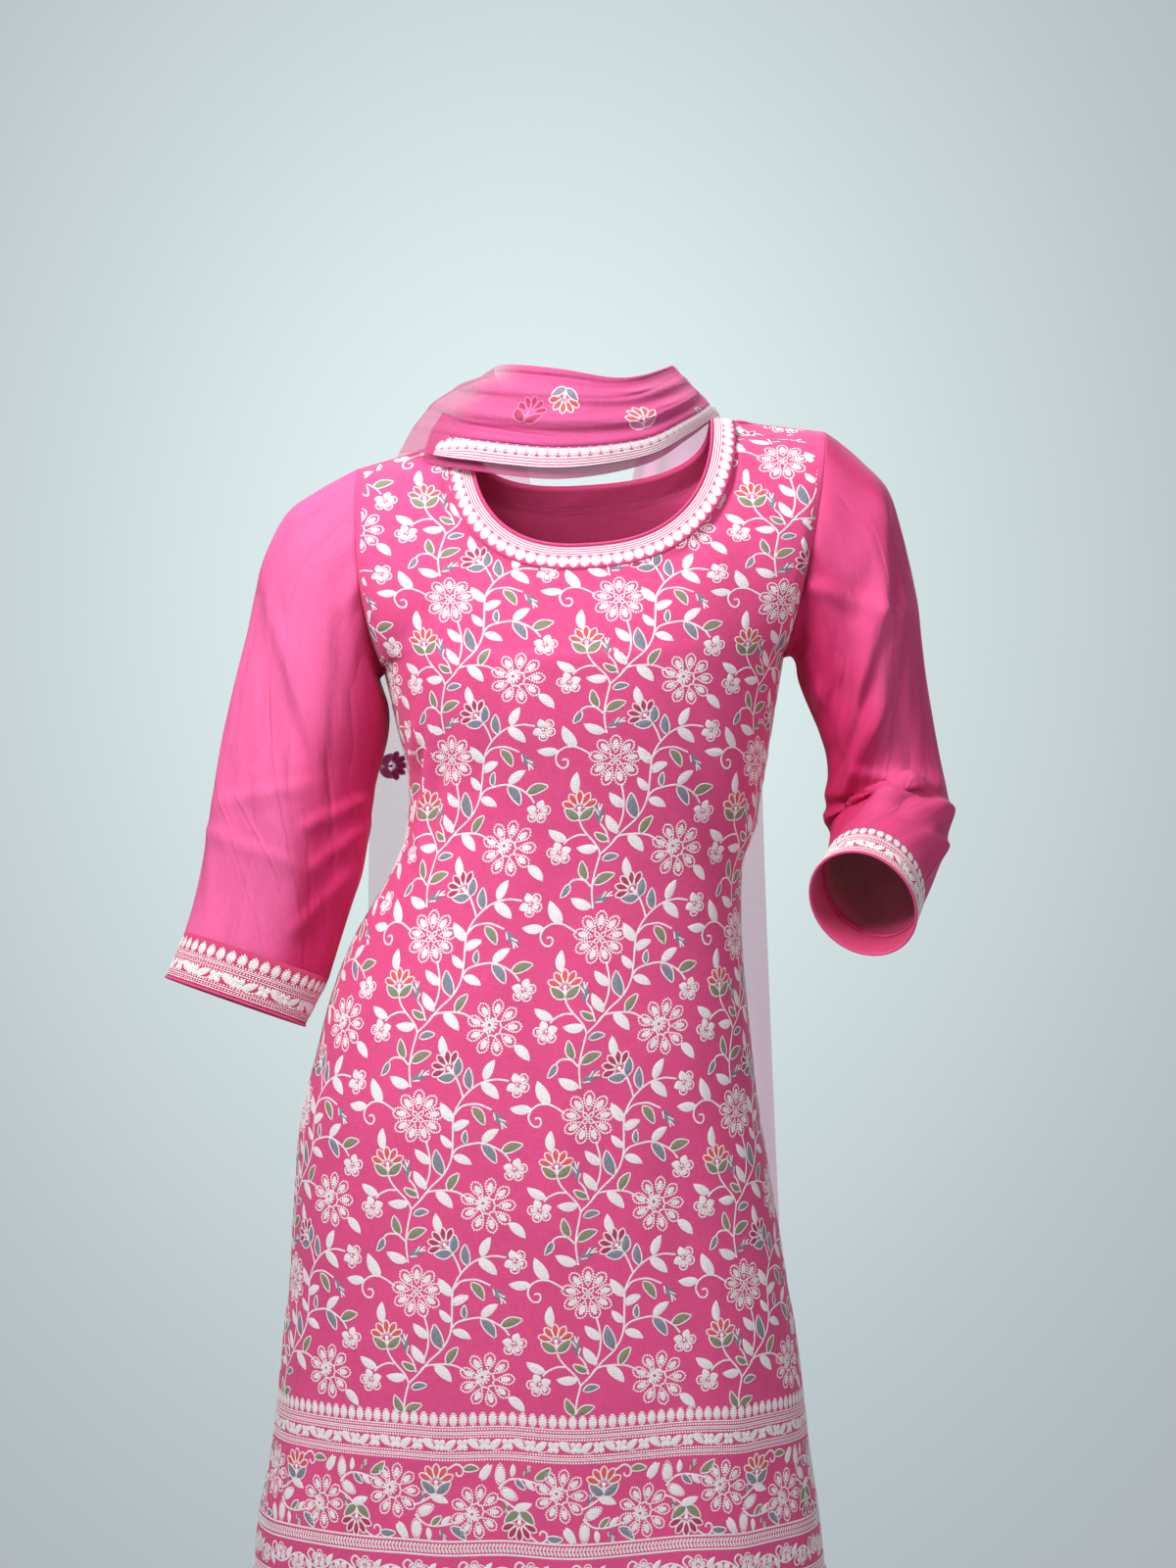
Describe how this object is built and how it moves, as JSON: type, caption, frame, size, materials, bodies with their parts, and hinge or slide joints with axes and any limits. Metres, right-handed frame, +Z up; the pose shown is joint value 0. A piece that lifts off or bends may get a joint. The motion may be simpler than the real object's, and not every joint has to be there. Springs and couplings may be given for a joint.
{
  "type": "sharara suit",
  "caption": "Worn sharara suit: pink A-line kurta with white vine embroidery and sheer three-quarter sleeves, sheer dupatta across the throat, plain flared sharara; hollow, no wearer.",
  "frame": {"origin": "base of the neck, midway between the shoulders that hold the suit up", "axes": "+Z up, -Y the way the wearer faces, +X the wearer's left"},
  "size_m": [0.721, 0.4464, 1.4334],
  "materials": {
    "kurta_cloth": "matt woven georgette, embroidered",
    "thread_border": "raised cream embroidery thread",
    "sleeve_georgette": "sheer plain georgette",
    "dupatta_net": "sheer soft net",
    "sharara_cloth": "matt woven georgette, plain"
  },
  "bodies": {
    "root": {"kurta_front": "kurta_cloth", "kurta_back": "kurta_cloth", "neck_band_front": "thread_border", "neck_band_back": "thread_border", "cuff_left": "thread_border", "cuff_right": "thread_border", "sleeve_left": "sleeve_georgette", "sleeve_right": "sleeve_georgette", "dupatta_front": "dupatta_net", "dupatta_fall_left": "dupatta_net", "dupatta_fall_right": "dupatta_net", "dupatta_border": "thread_border", "sharara_waistband": "sharara_cloth", "sharara_leg_left": "sharara_cloth", "sharara_leg_right": "sharara_cloth"}
  },
  "joints": []
}
